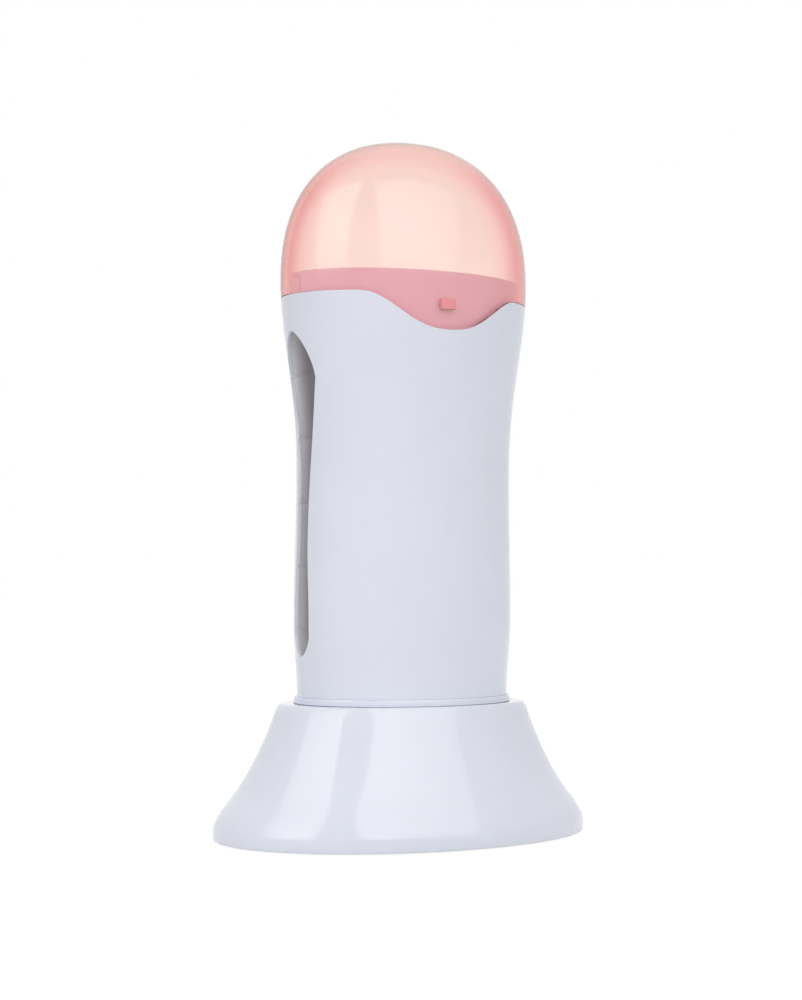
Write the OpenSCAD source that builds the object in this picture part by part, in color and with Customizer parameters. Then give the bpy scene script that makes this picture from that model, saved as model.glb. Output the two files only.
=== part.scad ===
// Roll on wax heater: a handset that heats a wax cartridge, its lift-off cap, and the base for them.
// Millimetres. The origin is the middle of the base, on the surface that it stands on.
// X is the wide way, -Y is the front and +Z is up. Every cross-section is an oval.

/* [Cartridge] */
// Width of the wax cartridge
cart_w = 52; // [49:0.5:55]
// Depth of the wax cartridge
cart_d = 30.5; // [28:0.5:33]
// Room between the cartridge and the sleeve on each side
cart_gap = 0.75; // [0.4:0.05:1.1]

/* [Heating] */
// Wall of the aluminium sleeve
sleeve_wall = 1.2; // [0.8:0.1:1.6]
// Length of the sleeve
sleeve_len = 93; // [90:0.5:96]
// Thickness of a heating plate
heater_t = 1.8; // [1.4:0.1:2.4]
// Width of a heating plate
heater_w = 14; // [11:0.5:15]
// Height of a heating plate
heater_h = 24; // [18:1:30]
// Thickness of an insulating film
film_t = 0.2; // [0.1:0.05:0.3]
// Thickness of the clip's strip
clip_t = 0.4; // [0.3:0.05:0.5]
// Width of the clip's strip
clip_w = 8; // [6:0.5:9]
// Radius of the thermal fuse
fuse_r = 1.3; // [1:0.1:1.5]
// Length of the thermal fuse
fuse_len = 9; // [7:0.5:10]

/* [Handset] */
// Wall of the casing
shell_wall = 2; // [1.6:0.1:2.4]
// How far the belly stands out past the waist
belly_swell = 0.55; // [0.2:0.05:1.5]
// How far the foot is drawn in from the waist
foot_tuck = 0.5; // [0:0.05:0.9]
// How far the mouth stands out past the waist
mouth_flare = 5.05; // [4:0.05:6]
// Height of the belly above the base's rim
belly_h = 22.7; // [18:0.1:28]
// Height of the waist above the base's rim
waist_h = 61.3; // [56:0.1:66]
// Height of the seam between casing and cap above the sleeve's top
seam_rise = 8; // [6:0.1:9.5]
// Height of the mouth's widest level above the seam
mouth_rise = 5.3; // [3.5:0.1:8]
// How late the flare to the mouth starts
mouth_lean = 1.28; // [1.1:0.01:1.4]

/* [Cap] */
// Wall of the cap
cap_wall = 1.8; // [1.4:0.1:2.2]
// Height of the cap's dome above the mouth's widest level
dome_h = 40; // [38:0.5:46]
// Squareness of the dome, where 2 is a plain oval
dome_power = 2.3; // [2:0.05:2.6]
// Depth of the cap's tongue at the front and back
tongue_drop = 9.8; // [7:0.1:11]
// Half width of the cap's tongue
tongue_half = 25; // [21:0.5:27]
// Gap between the cap's edge and the casing's
cap_seam_gap = 0.25; // [0.2:0.05:0.4]
// Width of the catch inside the cap's tongue
catch_w = 4.6; // [3.5:0.1:6]
// Height of the catch
catch_h = 2.8; // [2:0.1:3.5]
// How far the catch stands in from the cap's wall
catch_t = 0.8; // [0.5:0.05:1]
// Height of the catch's middle above the tongue's tip
catch_rise = 7; // [6:0.1:8]
// Clearance between the catch and the collar
catch_gap = 0.35; // [0.3:0.05:0.5]

/* [Collar] */
// How far the collar stands up past the seam
collar_proud = 6.3; // [5.5:0.1:8]
// Wall of the collar
collar_wall = 1.6; // [1.2:0.1:2]
// How far the collar reaches down past the tongue's tip
collar_skirt = 4.5; // [3.5:0.1:5]
// Clearance between the collar's guide pads and the cap
guide_gap = 0.3; // [0.3:0.05:0.4]
// Width of a guide pad
guide_w = 6; // [4:0.5:7]

/* [Windows] */
// Half width of the window near its foot
window_low_half = 4.3; // [3.8:0.1:6]
// Half width of the window where it is narrowest
window_mid_half = 3.2; // [2.8:0.1:5]
// Half width of the window near its head
window_top_half = 7.6; // [6.5:0.1:8.5]
// How far the window's head lies below the sleeve's top
window_head_room = 1.9; // [0.9:0.1:3]
// Height of the window's sill above the seat
window_sill = 1.9; // [1.7:0.1:3]
// Thickness of the window pane
pane_t = 1.2; // [0.9:0.1:1.4]
// How far the pane's face lies behind the casing's face
pane_recess = 0.9; // [0.8:0.05:1.3]
// How far the pane's edge runs behind the casing
pane_lap = 1.4; // [1:0.1:1.6]
// Number of level ribs on a pane
level_count = 5; // [3:1:8]
// Height of the lowest level rib above the window's sill
level_first = 7.4; // [6:0.1:9]
// Distance from the highest level rib up to the window's head
level_last = 11.8; // [10:0.1:20]
// Height of a level rib's bar
level_bar = 0.8; // [0.5:0.1:1.2]
// How far a level rib stands out of the pane
level_proud = 0.3; // [0.2:0.05:0.4]

/* [Foot] */
// Thickness of the lip round the handset's foot
lip_h = 1.6; // [1.2:0.1:2.4]
// How far the lip stands out past the casing
lip_proud = 0.8; // [0.4:0.1:1.5]
// Wall of the foot
foot_wall = 2.35; // [2:0.05:2.8]
// Floor of the foot
foot_floor = 2; // [1.6:0.1:2.6]
// How far the foot is drawn in from the casing where it enters the base
foot_step = 1.2; // [0.9:0.1:1.6]
// Height of the cartridge seat's plate above the base's rim
seat_h = 9; // [8.6:0.1:10]
// Thickness of the seat's plate
seat_t = 2; // [1.6:0.1:2.6]
// Distance of each contact from the middle
contact_x = 11; // [9.5:0.5:12]
// Radius of a contact stud's face
contact_r = 4; // [3.4:0.1:4.5]
// Distance of each long screw from the middle
tie_y = 12; // [11:0.5:13]

/* [Base] */
// How far the rim stands out past the handset's foot
rim_step = 5.5; // [4.5:0.1:8]
// How far the toe stands out past the rim
toe_spread = 18.5; // [15:0.5:22]
// Depth of the base divided by its width
base_ratio = 0.69; // [0.67:0.01:0.76]
// Height of the base from its lower edge to its rim
base_h = 36.7; // [35:0.1:42]
// Wall of the base, measured level
base_wall = 2.6; // [2:0.1:3]
// Thickness of the rim
rim_t = 2.4; // [2:0.1:3.2]
// Rounding of the rim's outer edge
rim_round = 1.2; // [0.8:0.1:1.8]
// Gap between the foot and the socket on each side
socket_gap = 0.5; // [0.35:0.05:0.8]
// Wall and floor of the socket
socket_wall = 2; // [1.6:0.1:2.4]
// Room between the foot and the socket's floor
socket_room = 2.5; // [2.2:0.1:3]
// Thickness of the closing plate underneath
plate_t = 2; // [1.6:0.1:2.6]
// How far the plate lies up inside the skirt
plate_inset = 0.6; // [0.4:0.1:1]
// Radius of a rubber foot
pad_r = 5; // [4:0.1:6]
// How far the rubber feet stand out below the skirt
pad_proud = 0.6; // [0.4:0.1:1]
// Radius of the cord's bore
cord_bore_r = 3.1; // [2.6:0.1:3.4]
// Length of the cord's bore
cord_bore_len = 13; // [11:0.5:15]

/* [Contact pins] */
// Radius of a pin's head
pin_r = 2; // [1.7:0.1:2.2]
// How far a pin can be pressed down
pin_travel = 1.5; // [1:0.1:1.8]
// Height of the block that carries the pins
block_h = 6; // [5.6:0.1:7]
// Radius of the pocket that a spring stands in
pocket_r = 3.2; // [3:0.1:3.4]
// Radius of the spring's wire
wire_r = 0.2; // [0.15:0.01:0.25]
// Turns of a spring
spring_turns = 3; // [2:0.5:4]

/* [Screws and leads] */
// Radius of the shank of the screws in the casing and the base
screw_r = 1.3; // [1:0.1:1.5]
// Radius of their heads
screw_head_r = 2.3; // [2:0.1:2.6]
// Radius of a lead
lead_r = 0.7; // [0.5:0.05:0.8]

/* [Hidden] */
$fn = 64;
running = 0.05;
close_fit = 0.15;
over = 1;

// Plan sizes, from the cartridge outwards.
bore_r = cart_w / 2 + cart_gap;
bore_b = cart_d / 2 + cart_gap;
sleeve_r = bore_r + sleeve_wall;
sleeve_b = bore_b + sleeve_wall;
flat_t = 0.1;
clip_room = 0.5;
heater_room = flat_t + 2 * film_t + heater_t + clip_t + clip_room;
pane_seat = 0.1;
pane_room = 0.75;
side_room = pane_t + pane_seat + pane_room;
waist_r = sleeve_r + side_room + shell_wall;
waist_b = sleeve_b + heater_room + shell_wall;
belly_r = waist_r + belly_swell;
foot_r = waist_r - foot_tuck;
mouth_r = waist_r + mouth_flare;

// Levels of the base.
skirt_z = pad_proud;
plate_z = skirt_z + plate_inset;
plate_top = plate_z + plate_t;
stem_proud = 0.3;
under_block = stem_proud + pin_travel + 0.5;
block_z = plate_top + under_block;
socket_under = block_z + block_h;
socket_floor = socket_under + socket_wall;
foot_z = socket_floor + socket_room;
rim_z = skirt_z + base_h;

// Levels of the handset and the cap.
stand_gap = 0.2;
lip_z = rim_z + stand_gap;
shell_z = lip_z + lip_h;
belly_z = rim_z + belly_h;
waist_z = rim_z + waist_h;
seat_z = rim_z + seat_h;
seat_top = seat_z + seat_t;
sleeve_top = seat_top + sleeve_len;
seam_z = sleeve_top + seam_rise;
mouth_z = seam_z + mouth_rise;
tip_z = seam_z - tongue_drop;
window_z = seat_top + window_sill;
window_top = sleeve_top - window_head_room;
sill_round = 6;
head_round = 13;
end_power = 1.7;
window_ease = 9;
neck_share = 0.62;
window_neck_z = belly_z + neck_share * (waist_z - belly_z);
level_pitch = (window_top - window_z - level_first - level_last) / (level_count - 1);
heater_z = seat_top + (sleeve_len - heater_h) / 2;

// Casing layers: how deep each one lies behind the casing's face.
pane_back = shell_wall + pane_seat + pane_t;
pane_land = shell_wall + pane_seat;
cap_in = cap_wall;
collar_out = cap_wall + catch_t + catch_gap;
collar_in = collar_out + collar_wall;
guide_drop = 3.6;
guide_z = seam_z - guide_drop;
guide_t = 1.2;
guide_head = 1.5;
cap_bore_r = casing_r(guide_z) - cap_wall;
guide_face = cap_bore_r * sqrt(1 - pow(guide_w / (2 * cap_bore_r * layer_k(cap_wall)), 2)) - guide_gap;
collar_z = tip_z - collar_skirt;
collar_top = seam_z + collar_proud;
web_t = 1.6;
collar_foot = 2;
side_gap = 0.6;
pane_margin = 4;
slot_tuck = 0.4;
rib_h = 1.5;
rib_proud = 1;
boss_wall = 0.9;
boss_gap = 0.2;
boss_inset = 2.8;
boss_r = screw_head_r + boss_wall;
boss_z = seat_z - boss_r - boss_gap;
boss_x = foot_r - shell_wall - boss_r - boss_inset;
shell_screw_y = 7;
shell_screw_len = 15;
shell_head_t = 1.6;
tip_room = 1;
spigot_h = 1.8;
fit_z = shell_z + spigot_h;

// The base's outline: rim, knee and toe, joined by two curves.
rim_r = foot_r + rim_step;
toe_r = rim_r + toe_spread;
toe_b = base_ratio * toe_r;
rim_slope = 0.36;
knee_slope = 0.86;
knee_z = skirt_z + 9.9;
knee_r = toe_r - 4.2;
toe_z = skirt_z + 2.5;
toe_round = 0.5;
waist_ctrl_z = (knee_r + knee_slope * knee_z - rim_r - rim_slope * rim_z) / (knee_slope - rim_slope);
waist_ctrl = [rim_r + rim_slope * (rim_z - waist_ctrl_z), waist_ctrl_z];
toe_ctrl = [toe_r, knee_z - (toe_r - knee_r) / knee_slope];

foot_off = foot_step;
socket_off = foot_step - socket_gap;
pin_foot_gap = 0.2;
pin_top = foot_z - pin_foot_gap;
flange_top = socket_under - running;
flange_t = 1;
flange_r = pocket_r - 0.3;
stem_r = 1;
pin_round = 0.6;
pocket_base = 1.5;
pocket_floor = block_z + pocket_base;
tag_t = 0.3;
tag_w = 2.4;
tag_gap = 0.2;
tag_reach = 2.5;
spring_gap = 0.03;
spring_z = pocket_floor + tag_t;
spring_h = flange_top - flange_t - spring_z;
block_margin = 3.8;
block_sink = 1.8;
block_head_t = 1.5;
block_screw_x = contact_x + pocket_r + block_margin;
block_w = 2 * (block_screw_x + screw_head_r + close_fit + tip_room / 2);
block_d = 2 * (pocket_r + block_margin);
floor_boss_wall = 1.2;
floor_boss_h = 1.3;
plate_gap = 0.3;
base_boss_wall = 1.9;
base_screw_len = 8;
base_head_t = 0.9;
base_screw_x = 0.54 * toe_r;
base_screw_y = 0.52 * toe_b;
pad_margin = 14.5;
pad_x = toe_r - pad_margin;
pad_y = 0.29 * toe_b;
pad_round = 0.4;
bush_wall = 1.9;
bush_lip = 1.2;
bush_round = 0.6;
bush_r = cord_bore_r + bush_wall;
bush_flange_r = bush_r + bush_lip;
bush_flange_t = 1.8;
inlet_rim = 1;
inlet_r = bush_flange_r + inlet_rim;
inlet_gap = 0.2;
inlet_z = plate_top + inlet_r + inlet_gap;
inlet_depth = 6;
stud_r = 1.5;
stud_rise = 3.2;
stud_top = foot_z + foot_floor + stud_rise;
contact_t = 1;
washer_w = 1.2;
washer_t = 0.8;
tie_r = 1.5;
tie_head_r = 2.7;
tie_head_t = 2;
tie_sink = 3;
tie_end = seat_z - 2.5;
tie_post_r = tie_head_r + 1.4;
foot_post_z = lip_z + 0.5;
seat_post_z = lip_z + 0.8;
seat_post_r = tie_post_r - 1;
seat_gap = 0.3;
plug_h = 1.7;
lead_slot = 6;
spigot_half = boss_x - boss_r - 0.5;
flat_side = 1;
flat_end = 10;
film_side = 0.8;
film_end = 3;
film_inset = 2;
clip_reach = 4;
clip_foot = 4;
fuse_z = seat_top + 7.7;
fuse_y = sleeve_b + running + fuse_r;
flat_y = sleeve_b + flat_t;
clip_y = flat_y + 2 * film_t + heater_t;
lead_y = sleeve_b + 0.7 + lead_r;
lead_x = clip_w / 2 + 1.6;
lead_slot_y = lead_y - lead_r - seat_gap;
lead_lift = 0.4 * lead_r;
joint_swell = 1.2;
terminal_y = block_d / 2 + 6;
terminal_w = 16;
terminal_d = 8;
terminal_h = 6.5;
terminal_x = 4;
terminal_bore_r = 1;
terminal_screw_r = 1.3;
terminal_bore_z = plate_top + terminal_h / 2;
tag_lead_z = pocket_floor + tag_t + running + lead_r;

function ease(a, b, t) = a + (b - a) * (1 - cos(180 * min(max(t, 0), 1))) / 2;

// Half width of the casing's face at height z.
function casing_r(z) =
    z < belly_z ? ease(foot_r, belly_r, (z - shell_z) / (belly_z - shell_z))
    : z < waist_z ? ease(belly_r, waist_r, (z - belly_z) / (waist_z - belly_z))
    : ease(waist_r, mouth_r, pow((min(z, mouth_z) - waist_z) / (mouth_z - waist_z), mouth_lean));

// Depth over width of the layer that lies d behind the casing's face.
function layer_k(d) = (waist_b - d) / (waist_r - d);

function layer_points(z0, z1, d, steps) =
    [for (i = [0:steps]) let (z = z0 + (z1 - z0) * i / steps) [casing_r(z) - d, z]];

// The dome's outline above the mouth, for the layer that lies d behind its face.
function dome_points(d, steps) =
    concat(
        [for (i = [0:steps - 1]) let (a = 90 * i / steps)
            [(mouth_r - d) * pow(cos(a), 2 / dome_power),
             mouth_z + (dome_h - d) * pow(sin(a), 2 / dome_power)]],
        [[0, mouth_z + dome_h - d]]);

function bend(a, c, b, t) = (1 - t) * (1 - t) * a + 2 * t * (1 - t) * c + t * t * b;

// The base's outline from the toe up to just under the rim, moved in by d.
function base_points(d) =
    concat(
        [for (i = [0:6]) bend([toe_r, toe_z], toe_ctrl, [knee_r, knee_z], i / 6) - [d, 0]],
        [for (i = [1:9]) bend([knee_r, knee_z], waist_ctrl, [rim_r, rim_z], i / 10) - [d, 0]]);

// Height of the seam at x: level at the sides, with a rounded tongue in the middle.
function seam_at(x) =
    seam_z - tongue_drop * (1 + cos(180 * pow(min(abs(x) / tongue_half, 1), 1.3))) / 2;

// Half width of the window at height z, between its rounded ends.
function window_half(z) =
    let (low = window_z + window_ease, rise = (z - window_neck_z) / (window_top - head_round - window_neck_z))
    rise < 0 ? ease(window_low_half, window_mid_half, (z - low) / (window_neck_z - low))
    : window_mid_half + (window_top_half - window_mid_half) * rise * rise;

// A quarter turn of the window's rounded end, at the angle a from its side: [across, along].
function end_turn(a) = [pow(cos(a), 2 / end_power), pow(sin(a), 2 / end_power)];

// One side of the window's outline, grown all round by g, from its foot to its head.
function window_side(g) =
    let (z0 = window_z + sill_round, z1 = window_top - head_round)
    concat(
        [for (i = [4:-1:0]) let (e = end_turn(22.5 * i))
            [(window_low_half + g) * e[0], z0 - (sill_round + g) * e[1]]],
        [for (i = [1:9]) let (z = z0 + (z1 - z0) * i / 10) [window_half(z) + g, z]],
        [for (i = [0:5]) let (e = end_turn(18 * i))
            [(window_top_half + g) * e[0], z1 + (head_round + g) * e[1]]]);

function mirrored(side) = [for (i = [len(side) - 2:-1:1]) [-side[i][0], side[i][1]]];

module oval(r, b, z0, z1)
    translate([0, 0, z0])
        linear_extrude(z1 - z0)
            scale([1, b / r])
                circle(r = r);

// An oval solid, k deep for each unit of width, turned from its half outline in two halves
// that meet at the angle seam.
module turned(k, outline, seam = 0)
    scale([1, k, 1])
        for (a = [seam, seam + 180])
            rotate([0, 0, a])
                rotate_extrude(angle = 180)
                    polygon(outline);

// A solid oval that follows the casing's face, d behind it, with its lower edge tucked in.
module layer(z0, z1, d, steps, tuck = 0, seam = 0)
    turned(layer_k(d), concat(
        [[0, z0]],
        tuck > 0 ? [[casing_r(z0) - d - tuck, z0]] : [],
        layer_points(z0 + tuck, z1, d, steps),
        [[0, z1]]), seam);

// A low upright oval, as wide as the casing at its foot, d behind the casing's face.
module slab(z0, z1, d)
    oval(casing_r(z0) - d, layer_k(d) * (casing_r(z0) - d), z0, z1);

// A straight oval under the casing, d behind the casing's foot.
module foot_layer(z0, z1, d)
    oval(foot_r - d, layer_k(d) * (foot_r - d), z0, z1);

module window_cut(g)
    rotate([90, 0, 90])
        linear_extrude(4 * mouth_r, center = true)
            polygon(concat(window_side(g), mirrored(window_side(g))));

// Everything above the seam, raised by rise.
module above_seam(rise)
    rotate([90, 0, 0])
        linear_extrude(4 * mouth_r, center = true)
            polygon(concat(
                [[-2 * mouth_r, seam_z + rise]],
                [for (i = [-10:10]) let (x = tongue_half * i / 10) [x, seam_at(x) + rise]],
                [[2 * mouth_r, seam_z + rise],
                 [2 * mouth_r, mouth_z + 2 * dome_h],
                 [-2 * mouth_r, mouth_z + 2 * dome_h]]));

// The half of space in front of (side -1) or behind (side 1) the casing's split.
module half_space(side)
    translate([-2 * mouth_r, side < 0 ? -4 * mouth_r : 0, 0])
        cube([4 * mouth_r, 4 * mouth_r, mouth_z + 2 * dome_h]);

module tube_y(r, x, z, y0, y1)
    translate([x, y0, z])
        rotate([-90, 0, 0])
            cylinder(r = r, h = y1 - y0);

// A lead of round section along its points, with a rounded joint at each bend.
module lead(points)
    union() {
        for (i = [0:len(points) - 2]) {
            v = points[i + 1] - points[i];
            translate(points[i])
                rotate([0, acos(v[2] / norm(v)), atan2(v[1], v[0])])
                    cylinder(r = lead_r, h = norm(v));
        }
        for (i = [1:len(points) - 2])
            translate(points[i])
                rotate([40, 25, 0])
                    sphere(r = joint_swell * lead_r);
    }

// A screw that points up, with the underside of its head at z 0 and a socket in the head.
module screw(r, head_r, length, head_t)
    union() {
        translate([0, 0, -0.3 * head_t])
            cylinder(r = r, h = length + 0.3 * head_t);
        translate([0, 0, -head_t])
            difference() {
                cylinder(r = head_r, h = head_t);
                translate([0, 0, -over])
                    cylinder(r = 0.45 * head_r, h = over + 0.5 * head_t, $fn = 6);
            }
    }

module cap()
    color([1, 0.72, 0.68, 0.6])
        union() {
            intersection() {
                difference() {
                    cap_solid(tip_z - over, 0);
                    cap_solid(tip_z - 2 * over, cap_in);
                }
                above_seam(cap_seam_gap);
            }
            cap_catch();
        }

// The cap's dome and the band under it, as a solid d behind its face.
module cap_solid(z0, d)
    turned(layer_k(d), concat([[0, z0]], layer_points(z0, mouth_z - over, d, 5), dome_points(d, 16)));

// The boss inside the tongue that clicks on the collar.
module cap_catch()
    intersection() {
        difference() {
            layer(tip_z, seam_z, cap_in - 0.4, 4);
            layer(tip_z - over, seam_z + over, cap_in + catch_t, 4);
        }
        translate([-catch_w / 2, -2 * waist_b, tip_z + catch_rise - catch_h / 2])
            cube([catch_w, 2 * waist_b, catch_h]);
    }

// The casing's wall, its seat rib and its screw bosses, before it is split.
module casing_wall()
    difference() {
        layer(shell_z, seam_z + over, 0, 18, 0.8);
        layer(shell_z - over, seam_z + 2 * over, shell_wall, 18);
    }

module seat_rib(side)
    difference() {
        layer(seat_top, seat_top + rib_h, shell_wall / 2, 2);
        layer(seat_top - over, seat_top + rib_h + over, shell_wall + rib_proud, 2);
        translate([-2 * mouth_r, side < 0 ? -window_low_half - pane_lap - side_gap : -over, seat_top - over])
            cube([4 * mouth_r, window_low_half + pane_lap + side_gap + over, rib_h + 2 * over]);
    }

module shell_boss(x, side)
    intersection() {
        layer(boss_z - boss_r - boss_gap, boss_z + boss_r + boss_gap, shell_wall / 2, 4);
        tube_y(boss_r, x, boss_z, side < 0 ? -waist_b : 0, side < 0 ? 0 : waist_b);
    }

module casing_half(side)
    difference() {
        intersection() {
            union() {
                casing_wall();
                seat_rib(side);
                for (x = [-boss_x, boss_x])
                    shell_boss(x, side);
            }
            half_space(side);
        }
        above_seam(0);
        window_cut(0);
    }

module front_shell()
    color([0.87, 0.87, 0.91])
        difference() {
            casing_half(-1);
            for (x = [-boss_x, boss_x])
                tube_y(screw_r, x, boss_z, shell_screw_y - shell_screw_len - tip_room, over);
        }

module back_shell()
    color([0.85, 0.85, 0.9])
        difference() {
            casing_half(1);
            for (x = [-boss_x, boss_x]) {
                tube_y(screw_r + close_fit, x, boss_z, -over, waist_b);
                tube_y(screw_head_r + close_fit, x, boss_z, shell_screw_y, 2 * waist_b);
            }
        }

module collar()
    color([0.93, 0.9, 0.91])
        difference() {
            union() {
                layer(collar_z, collar_top, collar_out, 5, seam = 90);
                slab(collar_z, collar_z + collar_foot, shell_wall + close_fit);
                collar_guides();
            }
            layer(collar_z - over, sleeve_top, collar_in, 2, seam = 90);
            layer(sleeve_top + web_t, collar_top + over, collar_in, 3, seam = 90);
            oval(bore_r, bore_b, collar_z - over, collar_top + over);
            translate([-2 * mouth_r, -window_top_half - pane_lap - side_gap, collar_z - over])
                cube([4 * mouth_r, 2 * (window_top_half + pane_lap + side_gap),
                      window_top + pane_lap + side_gap - collar_z + over]);
        }

// Two pads on the narrow sides that guide the cap.
module collar_guides()
    for (x = [-guide_face, guide_face - guide_t])
        translate([x, -guide_w / 2, guide_z])
            cube([guide_t, guide_w, collar_top - guide_head - guide_z]);

// The outline of the pane's face with the level ribs on it.
function pane_points(z0, z1) =
    concat(
        [[0, z0], pane_point(z0)],
        [for (i = [0:level_count - 1], p = level_points(window_z + level_first + i * level_pitch)) p],
        [pane_point(z1), [0, z1]]);

function level_points(z) =
    let (h = level_bar / 2, r0 = casing_r(z - h) - pane_recess, r1 = casing_r(z + h) - pane_recess)
    concat(
        [for (t = [-0.5, -0.27]) pane_point(z + t * level_pitch)],
        [[r0, z - h], [r0 + level_proud, z - h], [r1 + level_proud, z + h], [r1, z + h]],
        [pane_point(z + 0.25 * level_pitch)]);

function pane_point(z) = [casing_r(z) - pane_recess, z];

module window_pane(side)
    color([0.85, 0.87, 0.88, 0.5])
        intersection() {
            difference() {
                union() {
                    intersection() {
                        layer(window_z - pane_margin, window_top + pane_margin, pane_land, 12);
                        window_cut(pane_lap);
                    }
                    intersection() {
                        turned(layer_k(pane_recess),
                               pane_points(window_z - pane_margin, window_top + pane_margin));
                        window_cut(-close_fit);
                    }
                }
                layer(window_z - pane_margin - over, window_top + pane_margin + over, pane_back, 12);
            }
            translate([side < 0 ? -2 * mouth_r : 0, -mouth_r, 0])
                cube([2 * mouth_r, 2 * mouth_r, mouth_z]);
        }

module window_left()
    window_pane(-1);

module window_right()
    window_pane(1);

module heat_sleeve()
    color([0.75, 0.76, 0.77])
        difference() {
            union() {
                oval(sleeve_r, sleeve_b, seat_top, sleeve_top);
                translate([-heater_w / 2 - flat_side, -sleeve_b - flat_t, heater_z - flat_end])
                    cube([heater_w + 2 * flat_side, 2 * (sleeve_b + flat_t), heater_h + 2 * flat_end]);
            }
            oval(bore_r, bore_b, seat_top - over, sleeve_top + over);
            window_cut(-slot_tuck);
        }

module cartridge_seat()
    color([0.24, 0.24, 0.26])
        difference() {
            union() {
                layer(seat_z, seat_top, shell_wall + seat_gap, 2);
                oval(bore_r - close_fit, bore_b - close_fit, seat_top - seat_t / 2, seat_top + plug_h);
                for (s = [-1, 1])
                    translate([0, s * tie_y, seat_post_z])
                        cylinder(r = seat_post_r, h = seat_z + seat_t / 2 - seat_post_z);
            }
            for (s = [-1, 1]) {
                translate([0, s * tie_y, lip_z])
                    cylinder(r = tie_r, h = tie_end + tip_room - lip_z);
                translate([-lead_slot / 2, s > 0 ? lead_slot_y : -2 * waist_b, seat_z - over])
                    cube([lead_slot, 2 * waist_b - lead_slot_y, seat_t + 2 * over]);
            }
        }

// A bar on the sleeve's flat, t thick and starting y0 in front of or behind it.
module stack_bar(side, y0, t, w, h)
    translate([-w / 2, side < 0 ? -y0 - t : y0, heater_z + (heater_h - h) / 2])
        cube([w, t, h]);

module heater_front()
    color([0.55, 0.56, 0.58])
        stack_bar(-1, flat_y + film_t, heater_t, heater_w, heater_h);

module heater_back()
    color([0.55, 0.56, 0.58])
        stack_bar(1, flat_y + film_t, heater_t, heater_w, heater_h);

module heater_films()
    color([0.85, 0.6, 0.15])
        for (side = [-1, 1]) {
            stack_bar(side, flat_y, film_t, heater_w + film_side, heater_h + film_end);
            stack_bar(side, flat_y + film_t + heater_t, film_t, heater_w - film_inset, heater_h + film_end);
        }

// A bridge of strip over each heating plate, with a foot on the sleeve at either end.
module heater_clip(side)
    union() {
        stack_bar(side, clip_y, clip_t, clip_w, heater_h + 2 * clip_reach);
        for (s = [-1, 1])
            translate([0, 0, s * (heater_h / 2 + clip_reach - clip_t / 2)]) {
                stack_bar(side, flat_y, clip_y + clip_t - flat_y, clip_w, clip_t);
                translate([0, 0, s * (clip_foot - clip_t) / 2])
                    stack_bar(side, flat_y, clip_t, clip_w, clip_foot);
            }
    }

module heater_clips()
    color([0.7, 0.7, 0.72])
        for (side = [-1, 1])
            heater_clip(side);

module thermal_fuse()
    color([0.9, 0.88, 0.8])
        translate([0, fuse_y, fuse_z])
            cylinder(r = fuse_r, h = fuse_len);

// The way up from a contact stud to the gap beside the sleeve.
function riser(side) = [
    [side * contact_x, 0, stud_top + lead_lift],
    [side * contact_x, -side * 3, stud_top + 8],
    [side * 7.5, -side * 15, seat_z - 4],
    [side * 1.2, -side * lead_y, seat_z - 1],
    [0, -side * lead_y, seat_top + 2]];

module handset_lead_live()
    color([0.6, 0.3, 0.15])
        lead(concat(riser(-1), [[0, lead_y, fuse_z]]));

module handset_lead_neutral()
    color([0.2, 0.35, 0.75])
        lead(concat(riser(1), [
            [lead_x, -lead_y, heater_z - 14],
            [lead_x, -lead_y, heater_z - film_end]]));

module fuse_lead()
    color([0.6, 0.3, 0.15])
        lead([
            [0, fuse_y, fuse_z + fuse_len],
            [0, fuse_y, fuse_z + fuse_len + 1.2],
            [lead_x, lead_y, fuse_z + fuse_len + 5],
            [lead_x, lead_y, heater_z - film_end]]);

module bottom_cover()
    color([0.8, 0.8, 0.84])
        difference() {
            union() {
                foot_layer(foot_z, lip_z + lip_h / 4, foot_off);
                foot_layer(lip_z, shell_z, -lip_proud);
                intersection() {
                    foot_layer(shell_z - lip_h / 2, fit_z, shell_wall + close_fit);
                    translate([-spigot_half, -waist_b, shell_z - lip_h])
                        cube([2 * spigot_half, 2 * waist_b, lip_h + spigot_h + over]);
                }
            }
            difference() {
                foot_layer(foot_z + foot_floor, fit_z + over, foot_off + foot_wall);
                for (s = [-1, 1])
                    translate([0, s * tie_y, foot_z])
                        cylinder(r = tie_post_r, h = foot_post_z - foot_z);
            }
            for (s = [-1, 1]) {
                translate([0, s * tie_y, foot_z - over])
                    cylinder(r = tie_r + close_fit, h = seat_post_z - foot_z + 2 * over);
                translate([0, s * tie_y, foot_z - over])
                    cylinder(r = tie_head_r + close_fit, h = over + tie_sink);
                translate([s * contact_x, 0, foot_z - over])
                    cylinder(r = contact_r + running, h = over + contact_t);
                translate([s * contact_x, 0, foot_z - over])
                    cylinder(r = stud_r + running, h = foot_floor + 2 * over);
            }
        }

module handset_contacts()
    color([0.82, 0.66, 0.3])
        for (s = [-1, 1])
            translate([s * contact_x, 0, foot_z])
                union() {
                    cylinder(r = contact_r, h = contact_t);
                    cylinder(r = stud_r, h = stud_top - foot_z);
                    translate([0, 0, foot_floor + running])
                        cylinder(r = stud_r + washer_w, h = washer_t);
                }

module shell_screws()
    color([0.72, 0.72, 0.74])
        for (x = [-boss_x, boss_x])
            translate([x, shell_screw_y, boss_z])
                rotate([90, 0, 0])
                    screw(screw_r, screw_head_r, shell_screw_len, shell_head_t);

module tie_screws()
    color([0.72, 0.72, 0.74])
        for (s = [-1, 1])
            translate([0, s * tie_y, foot_z + tie_sink])
                screw(tie_r, tie_head_r, tie_end - foot_z - tie_sink, tie_head_t);

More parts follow.
